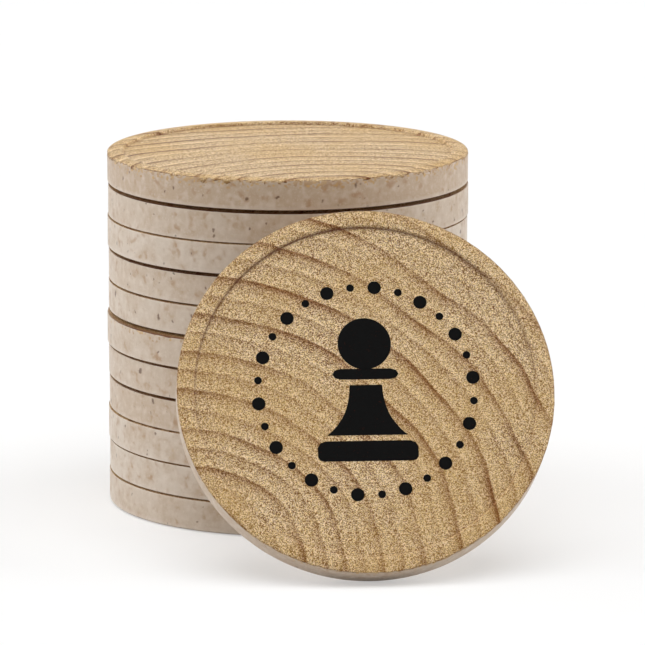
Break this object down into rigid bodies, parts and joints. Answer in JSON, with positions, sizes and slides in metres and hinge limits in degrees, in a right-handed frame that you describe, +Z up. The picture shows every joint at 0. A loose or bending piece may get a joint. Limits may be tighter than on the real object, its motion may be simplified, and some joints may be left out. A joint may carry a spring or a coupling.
{
  "type": "set of game tokens",
  "caption": "Round wood-look game tokens with a raised rim on both faces: a neat stack and a further token leaning on its front, each free to be picked up.",
  "frame": {"origin": "on the table, on the axis of the lowest token of the stack", "axes": "+Z up along the stack, -Y to the front, where the leaning token stands"},
  "size_m": [0.0352, 0.045, 0.0286],
  "materials": {
    "fibre_body": "matte",
    "wood_skin": "satin"
  },
  "bodies": {
    "token_01": {"token_01_body": "fibre_body", "token_01_top_skin": "wood_skin", "token_01_bottom_skin": "wood_skin"},
    "token_02": {"token_02_body": "fibre_body", "token_02_top_skin": "wood_skin", "token_02_bottom_skin": "wood_skin"},
    "token_03": {"token_03_body": "fibre_body", "token_03_top_skin": "wood_skin", "token_03_bottom_skin": "wood_skin"},
    "token_04": {"token_04_body": "fibre_body", "token_04_top_skin": "wood_skin", "token_04_bottom_skin": "wood_skin"},
    "token_05": {"token_05_body": "fibre_body", "token_05_top_skin": "wood_skin", "token_05_bottom_skin": "wood_skin"},
    "token_06": {"token_06_body": "fibre_body", "token_06_top_skin": "wood_skin", "token_06_bottom_skin": "wood_skin"},
    "token_07": {"token_07_body": "fibre_body", "token_07_top_skin": "wood_skin", "token_07_bottom_skin": "wood_skin"},
    "token_08": {"token_08_body": "fibre_body", "token_08_top_skin": "wood_skin", "token_08_bottom_skin": "wood_skin"},
    "token_09": {"token_09_body": "fibre_body", "token_09_top_skin": "wood_skin", "token_09_bottom_skin": "wood_skin"},
    "token_10": {"token_10_body": "fibre_body", "token_10_top_skin": "wood_skin", "token_10_bottom_skin": "wood_skin"},
    "token_11": {"token_11_body": "fibre_body", "token_11_top_skin": "wood_skin", "token_11_bottom_skin": "wood_skin"},
    "leaning_token": {"leaning_body": "fibre_body", "leaning_front_skin": "wood_skin", "leaning_back_skin": "wood_skin"}
  },
  "joints": [
    {"name": "token_02_lift", "type": "slide", "parent": "token_01", "child": "token_02", "axis": [0, 0, 1], "range_m": [0, 0.006]},
    {"name": "token_03_lift", "type": "slide", "parent": "token_02", "child": "token_03", "axis": [0, 0, 1], "range_m": [0, 0.006]},
    {"name": "token_04_lift", "type": "slide", "parent": "token_03", "child": "token_04", "axis": [0, 0, 1], "range_m": [0, 0.006]},
    {"name": "token_05_lift", "type": "slide", "parent": "token_04", "child": "token_05", "axis": [0, 0, 1], "range_m": [0, 0.006]},
    {"name": "token_06_lift", "type": "slide", "parent": "token_05", "child": "token_06", "axis": [0, 0, 1], "range_m": [0, 0.006]},
    {"name": "token_07_lift", "type": "slide", "parent": "token_06", "child": "token_07", "axis": [0, 0, 1], "range_m": [0, 0.006]},
    {"name": "token_08_lift", "type": "slide", "parent": "token_07", "child": "token_08", "axis": [0, 0, 1], "range_m": [0, 0.006]},
    {"name": "token_09_lift", "type": "slide", "parent": "token_08", "child": "token_09", "axis": [0, 0, 1], "range_m": [0, 0.006]},
    {"name": "token_10_lift", "type": "slide", "parent": "token_09", "child": "token_10", "axis": [0, 0, 1], "range_m": [0, 0.006]},
    {"name": "token_11_lift", "type": "slide", "parent": "token_10", "child": "token_11", "axis": [0, 0, 1], "range_m": [0, 0.006]},
    {"name": "leaning_token_tilt", "type": "hinge", "parent": "token_01", "child": "leaning_token", "pos_m": [0.00648, -0.02822, 0], "axis": [0.9976, 0.0698, 0], "range_deg": [0, 29]}
  ]
}
